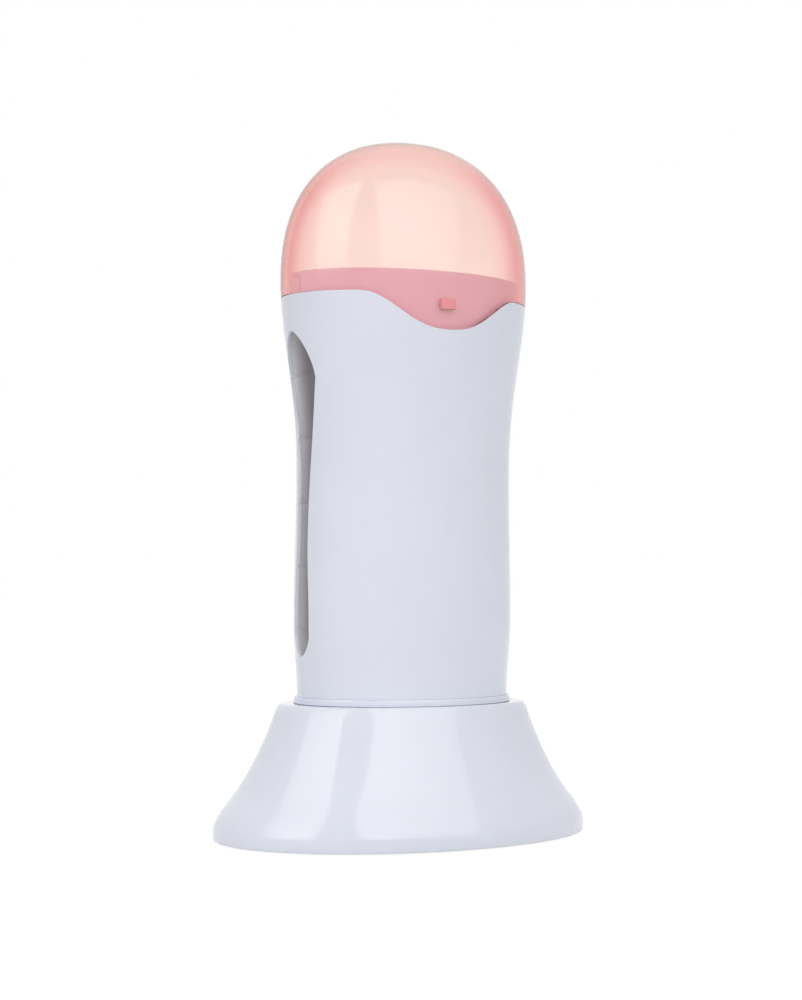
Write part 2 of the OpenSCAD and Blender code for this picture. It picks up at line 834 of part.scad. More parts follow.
module base_shell()
    color([0.9, 0.91, 0.94])
        difference() {
            union() {
                difference() {
                    base_body();
                    base_hollow();
                }
                foot_layer(socket_under, rim_z - rim_t / 2, socket_off - socket_wall);
                intersection() {
                    base_body();
                    base_bosses();
                }
                tube_y(inlet_r, 0, inlet_z, toe_b - base_wall - inlet_depth, toe_b);
                for (s = [-1, 1])
                    floor_boss(s);
            }
            difference() {
                foot_layer(socket_floor, rim_z + over, socket_off);
                for (s = [-1, 1])
                    floor_boss(s);
            }
            for (s = [-1, 1]) {
                translate([s * contact_x, 0, socket_under - over])
                    cylinder(r = pin_r + running, h = socket_wall + 2 * over);
                translate([s * block_screw_x, 0, socket_under - over])
                    cylinder(r = screw_r, h = over + socket_wall + floor_boss_h / 2);
                for (t = [-1, 1])
                    translate([s * base_screw_x, t * base_screw_y, plate_top - over])
                        cylinder(r = screw_r, h = base_screw_len + tip_room);
            }
            tube_y(bush_r + running, 0, inlet_z, toe_b - base_wall - inlet_depth - over, toe_b + over);
            tube_y(bush_flange_r + close_fit, 0, inlet_z, toe_b - bush_flange_t, toe_b + over);
        }

module base_body()
    turned(base_ratio, concat(
        [[0, skirt_z], [toe_r - toe_round, skirt_z], [toe_r, skirt_z + toe_round]],
        base_points(0),
        [for (i = [0:4]) let (a = 20 + 17.5 * i) [
            rim_r - rim_round * (1 - cos(a)),
            rim_z - rim_round * (1 - sin(a))]],
        [[0, rim_z]]));

// The room inside the base, up to the underside of its rim.
module base_hollow()
    turned(base_ratio, concat(
        [[0, skirt_z - over], [toe_r - base_wall, skirt_z - over]],
        [for (p = base_points(base_wall)) if (p[1] < rim_z - rim_t) p],
        [[rim_r - base_wall, rim_z - rim_t], [0, rim_z - rim_t]]));

// The blind boss on the socket's floor over each screw of the contact block.
module floor_boss(s)
    translate([s * block_screw_x, 0, socket_floor - socket_wall / 2])
        cylinder(r = screw_r + floor_boss_wall, h = socket_wall / 2 + floor_boss_h);

module base_bosses()
    for (s = [-1, 1], t = [-1, 1])
        translate([s * base_screw_x, t * base_screw_y, plate_top])
            cylinder(r = screw_r + base_boss_wall, h = base_h);

module base_plate()
    color([0.3, 0.3, 0.32])
        difference() {
            oval(toe_r - base_wall - plate_gap, toe_b - base_ratio * base_wall - plate_gap,
                 plate_z, plate_top);
            for (s = [-1, 1], t = [-1, 1]) {
                translate([s * base_screw_x, t * base_screw_y, plate_z - over])
                    cylinder(r = screw_r + close_fit, h = plate_t + 2 * over);
                translate([s * base_screw_x, t * base_screw_y, plate_z - over])
                    cylinder(r = screw_head_r + close_fit, h = over + plate_t / 2);
                translate([s * pad_x, t * pad_y, plate_z - over])
                    cylinder(r = pad_r + running, h = over + plate_t / 2);
            }
        }

module contact_block()
    color([0.2, 0.2, 0.22])
        difference() {
            translate([-block_w / 2, -block_d / 2, block_z])
                cube([block_w, block_d, block_h]);
            for (s = [-1, 1]) {
                translate([s * contact_x, 0, pocket_floor])
                    cylinder(r = pocket_r, h = block_h);
                translate([s * contact_x, 0, block_z - over])
                    cylinder(r = stem_r + running, h = block_h);
                translate([s * contact_x - tag_w / 2 - tag_gap, 0, pocket_floor])
                    cube([tag_w + 2 * tag_gap, block_d, tag_t + tag_gap]);
                translate([s * block_screw_x, 0, block_z - over])
                    cylinder(r = screw_r + close_fit, h = block_h + 2 * over);
                translate([s * block_screw_x, 0, block_z - over])
                    cylinder(r = screw_head_r + close_fit, h = over + block_sink);
            }
        }

module contact_tags()
    color([0.82, 0.66, 0.3])
        for (s = [-1, 1])
            translate([s * contact_x, 0, pocket_floor])
                difference() {
                    union() {
                        cylinder(r = pocket_r - tag_gap, h = tag_t);
                        translate([-tag_w / 2, 0, 0])
                            cube([tag_w, block_d / 2 + tag_reach, tag_t]);
                    }
                    translate([0, 0, -over])
                        cylinder(r = stem_r + tag_gap, h = tag_t + 2 * over);
                }

module pin(side)
    color([0.85, 0.7, 0.35])
        translate([side * contact_x, 0, 0])
            rotate_extrude()
                polygon([
                    [0, block_z - stem_proud], [stem_r, block_z - stem_proud],
                    [stem_r, flange_top - flange_t], [flange_r, flange_top - flange_t],
                    [flange_r, flange_top], [pin_r, flange_top],
                    [pin_r, pin_top - pin_round], [pin_r - pin_round, pin_top], [0, pin_top]]);

module pin_live()
    pin(-1);

module pin_neutral()
    pin(1);

// A coil spring as one unbroken round wire.
module spring(side) {
    per_turn = 12;
    sides = 6;
    rings = round(spring_turns * per_turn);
    coil_r = (stem_r + pocket_r) / 2;
    rise = spring_h - 2 * (wire_r + spring_gap);
    color([0.7, 0.71, 0.73])
        translate([side * contact_x, 0, spring_z + wire_r + spring_gap])
            polyhedron(
                points = [for (i = [0:rings], j = [0:sides - 1])
                    let (a = 360 * i / per_turn, b = 360 * j / sides, r = coil_r + wire_r * cos(b))
                    [r * cos(a), r * sin(a), rise * i / rings + wire_r * sin(b)]],
                faces = concat(
                    [[for (j = [0:sides - 1]) j]],
                    [[for (j = [sides - 1:-1:0]) rings * sides + j]],
                    [for (i = [0:rings - 1], j = [0:sides - 1])
                        let (k = (j + 1) % sides)
                        [i * sides + j, (i + 1) * sides + j, (i + 1) * sides + k, i * sides + k]]));
}

module spring_live()
    spring(-1);

module spring_neutral()
    spring(1);

module block_screws()
    color([0.72, 0.72, 0.74])
        for (s = [-1, 1])
            translate([s * block_screw_x, 0, block_z + block_sink])
                screw(screw_r, screw_head_r, socket_floor - block_z - block_sink, block_head_t);

module terminal_block()
    color([0.93, 0.92, 0.88])
        difference() {
            translate([-terminal_w / 2, terminal_y, plate_top + running])
                cube([terminal_w, terminal_d, terminal_h]);
            for (s = [-1, 1]) {
                tube_y(terminal_bore_r, s * terminal_x, terminal_bore_z,
                       terminal_y - over, terminal_y + terminal_d + over);
                translate([s * terminal_x, terminal_y + terminal_d / 2, terminal_bore_z])
                    cylinder(r = terminal_screw_r, h = terminal_h);
            }
        }

function base_route(side) = [
    [side * contact_x, block_d / 2 + 0.3, tag_lead_z],
    [side * (contact_x - 1), block_d / 2 + tag_reach + joint_swell * lead_r + tag_gap, tag_lead_z],
    [side * terminal_x, terminal_y - 0.8, terminal_bore_z],
    [side * terminal_x, terminal_y + terminal_d / 2, terminal_bore_z]];

module base_lead_live()
    color([0.6, 0.3, 0.15])
        lead(base_route(-1));

module base_lead_neutral()
    color([0.2, 0.35, 0.75])
        lead(base_route(1));

module cord_bush()
    color([0.3, 0.3, 0.32])
        translate([0, toe_b, inlet_z])
            rotate([90, 0, 0])
                rotate_extrude()
                    polygon([
                        [cord_bore_r, 0], [bush_flange_r - bush_round, 0], [bush_flange_r, bush_round],
                        [bush_flange_r, bush_flange_t], [bush_r, bush_flange_t],
                        [bush_r, cord_bore_len], [cord_bore_r, cord_bore_len]]);

module base_screws()
    color([0.72, 0.72, 0.74])
        for (s = [-1, 1], t = [-1, 1])
            translate([s * base_screw_x, t * base_screw_y, plate_z + plate_t / 2])
                screw(screw_r, screw_head_r, base_screw_len, base_head_t);

module feet()
    color([0.25, 0.25, 0.26])
        for (s = [-1, 1], t = [-1, 1])
            translate([s * pad_x, t * pad_y, 0])
                union() {
                    cylinder(r1 = pad_r - pad_round, r2 = pad_r, h = pad_round);
                    translate([0, 0, pad_round])
                        cylinder(r = pad_r, h = plate_z + plate_t / 2 - pad_round);
                }

cap();
front_shell();
back_shell();
collar();
window_left();
window_right();
heat_sleeve();
cartridge_seat();
heater_front();
heater_back();
heater_films();
heater_clips();
thermal_fuse();
handset_lead_live();
handset_lead_neutral();
fuse_lead();
bottom_cover();
handset_contacts();
shell_screws();
tie_screws();
base_shell();
base_plate();
contact_block();
contact_tags();
pin_live();
pin_neutral();
spring_live();
spring_neutral();
block_screws();
terminal_block();
base_lead_live();
base_lead_neutral();
cord_bush();
base_screws();
feet();
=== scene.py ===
"""A roll-on wax heater: an oval handset under a pink see-through cap, standing in its flared base.

The frame is the CAD model's, in metres: the origin is under the middle of the base, +X is the wide
way, -Y is the front and +Z is up. Each section below makes one piece or one group of like pieces.
"""

import math

import bmesh
import bpy
from mathutils import Matrix, Vector


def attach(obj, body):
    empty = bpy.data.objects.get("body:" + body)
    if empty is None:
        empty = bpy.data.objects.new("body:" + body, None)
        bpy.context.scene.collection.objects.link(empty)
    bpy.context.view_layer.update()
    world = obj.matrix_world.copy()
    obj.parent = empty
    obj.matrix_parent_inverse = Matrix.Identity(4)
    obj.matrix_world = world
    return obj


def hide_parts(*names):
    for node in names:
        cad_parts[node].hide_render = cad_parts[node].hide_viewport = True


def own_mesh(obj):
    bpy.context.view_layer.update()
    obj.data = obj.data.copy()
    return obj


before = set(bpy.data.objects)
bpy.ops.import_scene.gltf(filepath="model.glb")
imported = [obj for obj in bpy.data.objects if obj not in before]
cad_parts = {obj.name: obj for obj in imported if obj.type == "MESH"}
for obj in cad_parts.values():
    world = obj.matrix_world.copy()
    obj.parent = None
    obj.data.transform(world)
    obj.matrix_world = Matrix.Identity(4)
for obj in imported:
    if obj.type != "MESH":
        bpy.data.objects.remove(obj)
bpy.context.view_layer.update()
scene = bpy.context.scene
scene.view_settings.view_transform = "Standard"

# ---------------------------------------------------------------------------------------------
# Camera. It stands a little to the left of the front, at about the handset's middle, and its
# tilt, turn and lens come from the outline of the object in the photograph.

camera = bpy.data.objects.new("camera", bpy.data.cameras.new("camera"))
camera.data.sensor_fit = "VERTICAL"
camera.data.sensor_height = 36
camera.data.lens = 69.04
camera.matrix_world = (
    Matrix.Translation((-0.2630, -0.4727, 0.0738))
    @ Matrix.Rotation(math.radians(-29), 4, "Z")
    @ Matrix.Rotation(math.radians(92.124), 4, "X")
    @ Matrix.Rotation(math.radians(0.266), 4, "Z")
)
scene.collection.objects.link(camera)
scene.camera = camera

# ---------------------------------------------------------------------------------------------
# Room. A white floor that keeps the object's shadow, a white surround that the camera, gloss and
# clear plastic all see, and three soft boxes: two tall ones beside the camera and one behind.


def white_where_seen(nodes, links):
    """1 for the rays that should find a plain white surround, and 0 for light on the object."""
    path = nodes.new("ShaderNodeLightPath")
    total = path.outputs["Is Camera Ray"]
    for kind in ("Is Glossy Ray", "Is Transmission Ray"):
        either = nodes.new("ShaderNodeMath")
        either.operation = "MAXIMUM"
        links.new(total, either.inputs[0])
        links.new(path.outputs[kind], either.inputs[1])
        total = either.outputs[0]
    return total


world = bpy.data.worlds.new("surround")
world.use_nodes = True
scene.world = world
sky = world.node_tree
sky.nodes.clear()
ambient = sky.nodes.new("ShaderNodeBackground")
ambient.inputs["Color"].default_value = (0.94, 0.96, 1.0, 1)
ambient.inputs["Strength"].default_value = 0.19
backdrop = sky.nodes.new("ShaderNodeBackground")
backdrop.inputs["Color"].default_value = (1, 1, 1, 1)
backdrop.inputs["Strength"].default_value = 1.0
pick = sky.nodes.new("ShaderNodeMixShader")
out = sky.nodes.new("ShaderNodeOutputWorld")
sky.links.new(white_where_seen(sky.nodes, sky.links), pick.inputs[0])
sky.links.new(ambient.outputs[0], pick.inputs[1])
sky.links.new(backdrop.outputs[0], pick.inputs[2])
sky.links.new(pick.outputs[0], out.inputs["Surface"])

floor_paint = bpy.data.materials.new("floor_white")
floor_paint.use_nodes = True
paper = floor_paint.node_tree
paper.nodes.clear()
matt = paper.nodes.new("ShaderNodeBsdfDiffuse")
matt.inputs["Color"].default_value = (0.9, 0.9, 0.9, 1)
glow = paper.nodes.new("ShaderNodeEmission")
glow.inputs["Color"].default_value = (1, 1, 1, 1)
spot = paper.nodes.new("ShaderNodeTexCoord")
reach = paper.nodes.new("ShaderNodeVectorMath")
reach.operation = "LENGTH"
paper.links.new(spot.outputs["Object"], reach.inputs[0])
far = paper.nodes.new("ShaderNodeMapRange")
far.inputs["From Min"].default_value = 0.3
far.inputs["From Max"].default_value = 1.3
far.inputs["To Min"].default_value = 1.24
far.inputs["To Max"].default_value = 1.38
paper.links.new(reach.outputs["Value"], far.inputs["Value"])
paper.links.new(far.outputs["Result"], glow.inputs["Strength"])
lit = paper.nodes.new("ShaderNodeMixShader")
share = paper.nodes.new("ShaderNodeMath")
share.operation = "MULTIPLY"
share.inputs[1].default_value = 0.72
out = paper.nodes.new("ShaderNodeOutputMaterial")
paper.links.new(white_where_seen(paper.nodes, paper.links), share.inputs[0])
paper.links.new(share.outputs[0], lit.inputs[0])
paper.links.new(matt.outputs[0], lit.inputs[1])
paper.links.new(glow.outputs[0], lit.inputs[2])
paper.links.new(lit.outputs[0], out.inputs["Surface"])

ground = bmesh.new()
bmesh.ops.create_grid(ground, x_segments=1, y_segments=1, size=4)
floor_mesh = bpy.data.meshes.new("floor")
ground.to_mesh(floor_mesh)
ground.free()
floor_mesh.materials.append(floor_paint)
floor = bpy.data.objects.new("floor", floor_mesh)
scene.collection.objects.link(floor)

SUBJECT = Vector((0, 0, 0.1))
for name, turn, rise, away, width, height, power, swing in (
    ("box_left", -75, 36, 1.25, 0.9, 1.15, 3.75, 26),
    ("box_right", 16, 36, 1.25, 1.3, 1.15, 4.75, -26),
    ("box_back", 160, 45, 1.4, 1.4, 0.9, 5.0, 0),
):
    lamp = bpy.data.lights.new(name, "AREA")
    lamp.shape = "RECTANGLE"
    lamp.size = width
    lamp.size_y = height
    lamp.energy = power
    lamp.spread = math.radians(120)
    lamp.color = (1.0, 0.985, 0.95)
    holder = bpy.data.objects.new(name, lamp)
    around, up = math.radians(turn), math.radians(rise)
    aim = Vector((math.sin(around) * math.cos(up), -math.cos(around) * math.cos(up), math.sin(up)))
    holder.matrix_world = (
        Matrix.Translation(SUBJECT + away * aim)
        @ Matrix.Rotation(math.radians(swing), 4, "Z")
        @ aim.to_track_quat("Z", "Y").to_matrix().to_4x4())
    holder.visible_camera = False
    holder.visible_transmission = False
    holder.visible_glossy = turn < 90
    scene.collection.objects.link(holder)

# ---------------------------------------------------------------------------------------------
# Casing. The two glossy white halves of the handset, moulded in one thickness. Their face is an
# oval that swells at the belly, draws in at the waist and flares to the mouth. The halves meet on
# the narrow sides, where each leaves half of the slot that a level window looks out of.

MM = 0.001
SHELL_Z, BELLY_Z, WAIST_Z, MOUTH_Z = 39.1, 60.0, 98.6, 154.6
FOOT_R, BELLY_R, WAIST_R, MOUTH_R = 31.5, 32.55, 32.0, 37.05
WAIST_B = 22.4
OVAL = WAIST_B / WAIST_R
SEAM_Z, TONGUE_DROP, TONGUE_HALF = 149.3, 9.8, 25.0
WINDOW_Z, WINDOW_NECK, WINDOW_TOP = 50.2, 83.9, 139.4
WINDOW_LOW, WINDOW_HEAD, END_POWER = 6.0, 13.0, 1.7
LOW_HALF, NECK_HALF, HEAD_HALF = 4.3, 3.2, 7.6
SHELL_WALL = 2.0


def ease(a, b, t):
    return a + (b - a) * (1 - math.cos(math.pi * min(max(t, 0), 1))) / 2


def casing_r(z):
    """Half width of the casing's face at height z, in millimetres."""
    if z < BELLY_Z:
        return ease(FOOT_R, BELLY_R, (z - SHELL_Z) / (BELLY_Z - SHELL_Z))
    if z < WAIST_Z:
        return ease(BELLY_R, WAIST_R, (z - BELLY_Z) / (WAIST_Z - BELLY_Z))
    return ease(WAIST_R, MOUTH_R, ((min(z, MOUTH_Z) - WAIST_Z) / (MOUTH_Z - WAIST_Z)) ** 1.28)


def seam_at(x):
    """Height of the wavy seam between casing and cap at x, in millimetres."""
    return SEAM_Z - TONGUE_DROP * (1 + math.cos(math.pi * min(abs(x) / TONGUE_HALF, 1) ** 1.3)) / 2


def rounded_end(share):
    """Share of the full half width that a rounded end has, at a share of its length from its root."""
    return max(0.0, 1 - min(share, 1) ** END_POWER) ** (1 / END_POWER)


def slot_edge(station, grow=0.0):
    """Height and half width of the window's slot, grown all round, at a station along it: from -1
    to 0 on its lower end, from 0 to 1 between its ends, and from 1 to 2 on its upper end."""
    low, head = WINDOW_Z + WINDOW_LOW, WINDOW_TOP - WINDOW_HEAD
    if station < 0:
        return low + (WINDOW_LOW + grow) * station, (LOW_HALF + grow) * rounded_end(-station)
    if station > 1:
        return head + (WINDOW_HEAD + grow) * (station - 1), (HEAD_HALF + grow) * rounded_end(station - 1)
    z = low + (head - low) * station
    if z < WINDOW_NECK:
        return z, grow + ease(LOW_HALF, NECK_HALF, (z - low - 3) / (WINDOW_NECK - low - 3))
    return z, grow + NECK_HALF + (HEAD_HALF - NECK_HALF) * ((z - WINDOW_NECK) / (head - WINDOW_NECK)) ** 2


def slot_stations():
    """Stations along the window, close together where its ends turn."""
    turns = [math.sin(math.radians(90 * i / 14)) ** (2 / END_POWER) for i in range(15)]
    return [-t for t in reversed(turns)] + [i / 46 for i in range(1, 46)] + [1 + t for t in turns]


def edge_rows():
    """Height and slot half width of each of the casing's rows: foot, window, and up to the seam."""
    foot = [(SHELL_Z + (WINDOW_Z - SHELL_Z) * i / 8, 0.0) for i in range(8)]
    above = [(WINDOW_TOP + (SEAM_Z - WINDOW_TOP) * i / 7, 0.0) for i in range(1, 8)]
    return foot + [slot_edge(station) for station in slot_stations()] + above


def new_piece(name, bm, material, body, smooth=40):
    """A finished mesh as an object that rides on its body, smooth but for its sharp edges."""
    mesh = bpy.data.meshes.new(name)
    bm.to_mesh(mesh)
    bm.free()
    mesh.materials.append(material)
    mesh.polygons.foreach_set("use_smooth", [True] * len(mesh.polygons))
    mesh.set_sharp_from_angle(angle=math.radians(smooth))
    piece = bpy.data.objects.new(name, mesh)
    scene.collection.objects.link(piece)
    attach(piece, body)
    return piece


def thicken(piece, wall):
    """Gives a skin its wall, inwards from its face."""
    solid = piece.modifiers.new("wall", "SOLIDIFY")
    solid.thickness = wall
    solid.offset = -1


def soften(piece, width, segments=3, angle=50):
    """Rounds the edges that a mould leaves."""
    edge = piece.modifiers.new("edges", "BEVEL")
    edge.width = width
    edge.segments = segments
    edge.limit_method = "ANGLE"
    edge.angle_limit = math.radians(angle)
    edge.harden_normals = True


def face_outwards(bm):
    """Points an open skin's faces away from the object's middle line."""
    bmesh.ops.recalc_face_normals(bm, faces=bm.faces)
    middles = [(f.normal, f.calc_center_median()) for f in bm.faces]
    if sum(normal.x * middle.x + normal.y * middle.y for normal, middle in middles) < 0:
        bmesh.ops.reverse_faces(bm, faces=bm.faces)


def plastic(name, colour, roughness, mottle=0.012, grain=0.0):
    """Moulded plastic: a faint cloudiness in its colour and gloss, and a fine grain if it is matt."""
    material = bpy.data.materials.new(name)
    material.use_nodes = True
    nodes, links = material.node_tree.nodes, material.node_tree.links
    shader = nodes["Principled BSDF"]
    shader.inputs["IOR"].default_value = 1.49
    place = nodes.new("ShaderNodeTexCoord")
    cloud = nodes.new("ShaderNodeTexNoise")
    cloud.inputs["Scale"].default_value = 45
    cloud.inputs["Detail"].default_value = 3
    links.new(place.outputs["Object"], cloud.inputs["Vector"])
    tone = nodes.new("ShaderNodeValToRGB")
    tone.color_ramp.elements[0].position = 0.3
    tone.color_ramp.elements[1].position = 0.7
    tone.color_ramp.elements[0].color = (*[c * (1 - mottle) for c in colour], 1)
    tone.color_ramp.elements[1].color = (*[min(1, c * (1 + mottle)) for c in colour], 1)
    links.new(cloud.outputs["Fac"], tone.inputs["Fac"])
    links.new(tone.outputs["Color"], shader.inputs["Base Color"])
    gloss = nodes.new("ShaderNodeMapRange")
    gloss.inputs["To Min"].default_value = roughness * 0.85
    gloss.inputs["To Max"].default_value = roughness * 1.15
    links.new(cloud.outputs["Fac"], gloss.inputs["Value"])
    links.new(gloss.outputs["Result"], shader.inputs["Roughness"])
    fine = nodes.new("ShaderNodeTexNoise")
    fine.inputs["Scale"].default_value = 900
    fine.inputs["Detail"].default_value = 4
    links.new(place.outputs["Object"], fine.inputs["Vector"])
    bump = nodes.new("ShaderNodeBump")
    bump.inputs["Strength"].default_value = 0.02 + grain
    bump.inputs["Distance"].default_value = 0.0002
    links.new(fine.outputs["Fac"], bump.inputs["Height"])
    links.new(bump.outputs["Normal"], shader.inputs["Normal"])
    return material


casing_white = plastic("casing_white", (0.755, 0.787, 0.895), 0.16)


def casing_half(name, node, side):
    """One half of the casing: side is -1 for the front and 1 for the back."""
    rows = edge_rows()
    last = len(rows) - 1
    bm = bmesh.new()
    bmesh.ops.create_grid(bm, x_segments=72, y_segments=last, size=1)
    for vert in bm.verts:
        across = (vert.co.x + 1) / 2
        row = round((vert.co.y + 1) / 2 * last)
        even = SHELL_Z + (SEAM_Z - SHELL_Z) * row / last
        level, half = rows[row]
        z = even + (level - even) * abs(vert.co.x) ** 4
        x_top = -MOUTH_R * math.cos(math.pi * across)
        dip = max(0.0, (z - 100) / (SEAM_Z - 100)) ** 2
        z -= (SEAM_Z - seam_at(x_top)) * dip
        r = casing_r(z)
        edge = math.asin(half / (OVAL * r))
        turn = edge + (math.pi - 2 * edge) * across
        vert.co = Vector((-r * math.cos(turn), side * OVAL * r * math.sin(turn), z)) * MM
    face_outwards(bm)
    piece = new_piece(name, bm, casing_white, "handset")
    thicken(piece, SHELL_WALL * MM)
    soften(piece, 0.7 * MM, 4)
    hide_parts(node)


casing_half("casing_front", "front_shell", -1)
casing_half("casing_back", "back_shell", 1)

# ---------------------------------------------------------------------------------------------
# Level windows. A clear moulded pane on each narrow side, with five raised level ribs. Its face
# stands in the casing's slot, and a thin flange round it is held behind the casing.

PANE_CLEARANCE, PANE_LAP = 0.15, 1.4
PANE_FACE, PANE_FLANGE, PANE_BACK = 0.9, 2.1, 3.3
RIB_PROUD, RIB_BAR, NUDGE = 0.3, 0.8, 1e-6
RIB_LEVELS = [57.6 + 17.5 * i for i in range(5)]


def clear_plastic(name, tint, density, roughness, shadow, face=(1, 1, 1), clarity=1.0, edge_on=None):
    """Clear tinted plastic: its body soaks up light on the way through, and its shadow is pale.
    Where the wall is seen edge-on, the second glass edge_on is mixed in, which fades out towards the
    cap's crown: on the cap it is a deeper tint for the light's longer way through the wall, and on the
    panes it is a pale painted reflection."""
    material = bpy.data.materials.new(name)
    material.use_nodes = True
    nodes, links = material.node_tree.nodes, material.node_tree.links
    place = nodes.new("ShaderNodeTexCoord")
    cloud = nodes.new("ShaderNodeTexNoise")
    cloud.inputs["Scale"].default_value = 60
    links.new(place.outputs["Object"], cloud.inputs["Vector"])
    haze = nodes.new("ShaderNodeMapRange")
    haze.inputs["To Min"].default_value = roughness * 0.8
    haze.inputs["To Max"].default_value = roughness * 1.2
    links.new(cloud.outputs["Fac"], haze.inputs["Value"])
    clear = nodes["Principled BSDF"]
    glasses = [(clear, face)]
    if edge_on:
        glasses.append((nodes.new("ShaderNodeBsdfPrincipled"), edge_on))
    for glass, colour in glasses:
        glass.inputs["Base Color"].default_value = (*colour, 1)
        glass.inputs["Transmission Weight"].default_value = clarity
        glass.inputs["IOR"].default_value = 1.45
        links.new(haze.outputs["Result"], glass.inputs["Roughness"])
    body = clear.outputs[0]
    if edge_on:
        slant = nodes.new("ShaderNodeLayerWeight")
        slant.inputs["Blend"].default_value = 0.5
        reach = nodes.new("ShaderNodeMapRange")
        reach.inputs["From Min"].default_value = 0.32
        reach.inputs["From Max"].default_value = 0.8
        links.new(slant.outputs["Facing"], reach.inputs["Value"])
        height = nodes.new("ShaderNodeSeparateXYZ")
        links.new(place.outputs["Object"], height.inputs["Vector"])
        thin = nodes.new("ShaderNodeMapRange")
        thin.interpolation_type = "SMOOTHSTEP"
        thin.inputs["From Min"].default_value = 0.178
        thin.inputs["From Max"].default_value = 0.195
        thin.inputs["To Min"].default_value = 1.0
        thin.inputs["To Max"].default_value = 0.0
        links.new(height.outputs["Z"], thin.inputs["Value"])
        depth = nodes.new("ShaderNodeMath")
        depth.operation = "MULTIPLY"
        links.new(reach.outputs["Result"], depth.inputs[0])
        links.new(thin.outputs["Result"], depth.inputs[1])
        deep = nodes.new("ShaderNodeMixShader")
        links.new(depth.outputs[0], deep.inputs[0])
        links.new(body, deep.inputs[1])
        links.new(glasses[1][0].outputs[0], deep.inputs[2])
        body = deep.outputs[0]
    through = nodes.new("ShaderNodeBsdfTransparent")
    through.inputs["Color"].default_value = (*shadow, 1)
    path = nodes.new("ShaderNodeLightPath")
    mix = nodes.new("ShaderNodeMixShader")
    links.new(path.outputs["Is Shadow Ray"], mix.inputs[0])
    links.new(body, mix.inputs[1])
    links.new(through.outputs[0], mix.inputs[2])
    links.new(mix.outputs[0], nodes["Material Output"].inputs["Surface"])
    soak = nodes.new("ShaderNodeVolumeAbsorption")
    soak.inputs["Color"].default_value = (*tint, 1)
    soak.inputs["Density"].default_value = density
    links.new(soak.outputs[0], nodes["Material Output"].inputs["Volume"])
    return material


# Painted shade and painted reflection: the pane's face is a half-matt dark grey for the shaded bay behind
# it, and where it is seen edge-on it turns pale as a painted reflection.
window_clear = clear_plastic(
    "window_clear", (0.62, 0.6, 0.66), 60, 0.22, (0.9, 0.9, 0.92), face=(0.3, 0.28, 0.33), clarity=0.55,
    edge_on=(0.93, 0.92, 0.95))


def station_at(z):
    low, head = WINDOW_Z + WINDOW_LOW, WINDOW_TOP - WINDOW_HEAD
    return (z - low) / (head - low) if z < head else 1 + (z - head) / WINDOW_HEAD


def pane_rows():
    """Station and depth of each of the pane's rows, with a step up and down at each rib."""
    ribs = [(station_at(z - RIB_BAR / 2), station_at(z + RIB_BAR / 2)) for z in RIB_LEVELS]
    clear_of_ribs = [q for q in slot_stations() if not any(a - 0.005 < q < b + 0.005 for a, b in ribs)]
    rows = [(q, PANE_FACE) for q in clear_of_ribs]
    proud = PANE_FACE - RIB_PROUD
    for a, b in ribs:
        rows += [(a, PANE_FACE), (a + NUDGE, proud), (b, proud), (b + NUDGE, PANE_FACE)]
    return sorted(rows)


def window_pane(name, node, side):
    """One pane: side is -1 for the left and 1 for the right."""
    rows = pane_rows()
    bm = bmesh.new()
    along = bm.verts.layers.float.new("along")
    across = bm.verts.layers.float.new("across")
    bmesh.ops.create_grid(bm, x_segments=16, y_segments=len(rows) - 1, size=1)

    def place(vert, grow, depth):
        z, half = slot_edge(vert[along], grow)
        wide = casing_r(z) - depth
        y = half * vert[across]
        deep = wide * (WAIST_B - depth) / (WAIST_R - depth)
        x = wide * math.sqrt(1 - (y / deep) ** 2)
        vert.co = Vector((side * x, y, z)) * MM

    for vert in bm.verts:
        vert[along], depth = rows[round((vert.co.y + 1) / 2 * (len(rows) - 1))]
        vert[across] = vert.co.x
        place(vert, -PANE_CLEARANCE, depth)
    back = bmesh.ops.duplicate(bm, geom=bm.verts[:] + bm.edges[:] + bm.faces[:])["geom"]
    back = [item for item in back if isinstance(item, bmesh.types.BMVert)]
    for vert in back:
        place(vert, PANE_LAP, PANE_BACK)
    rim = [e for e in bm.edges if e.is_boundary and e.verts[0] not in back]
    for grow, depth in ((-PANE_CLEARANCE, PANE_FLANGE), (PANE_LAP, PANE_FLANGE), (PANE_LAP, PANE_BACK)):
        grown = bmesh.ops.extrude_edge_only(bm, edges=rim)["geom"]
        rim = [item for item in grown if isinstance(item, bmesh.types.BMEdge)]
        for vert in {v for e in rim for v in e.verts}:
            place(vert, grow, depth)
    bmesh.ops.remove_doubles(bm, verts=bm.verts, dist=0.002 * MM)
    bmesh.ops.recalc_face_normals(bm, faces=bm.faces)
    pane = new_piece(name, bm, window_clear, "handset", 30)
    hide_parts(node)


window_pane("pane_left", "window_left", -1)
window_pane("pane_right", "window_right", 1)

# ---------------------------------------------------------------------------------------------
# Cap. A tall oval dome of clear pink plastic, 1.8 mm thick, moulded in one piece. A band under
# the dome follows the casing down to the wavy seam, with a tongue at the front and the back that
# each have a small catch on their inside.

CAP_WALL, CAP_GAP, CATCH_Z = 1.8, 0.06, 146.5
DOME_H, DOME_POWER = 40.0, 2.3
CATCH_W, CATCH_H, CATCH_T, CATCH_SUNK = 4.6, 2.8, 0.8, 0.3

cap_pink = clear_plastic(
    "cap_pink", (0.97, 0.283, 0.05), 120, 0.12, (0.9, 0.64, 0.75), edge_on=(0.8, 0.27, 0.34))


def lathe(outline, steps, inside=()):
    """Turns an outline, and the inside that leads back to its start, about the middle line."""
    bm = bmesh.new()
    face = [bm.verts.new(p) for p in outline]
    lining = [bm.verts.new(p) for p in inside]
    edges = [bm.edges.new(pair) for pair in zip(face, face[1:])]
    edges += [bm.edges.new(pair) for pair in zip(lining, lining[1:] + face[:1])]
    bmesh.ops.spin(
        bm, geom=face + lining + edges, cent=(0, 0, 0), axis=(0, 0, 1), angle=math.tau, steps=steps,
        use_merge=True)
    bmesh.ops.remove_doubles(bm, verts=bm.verts, dist=1e-4)
    return bm


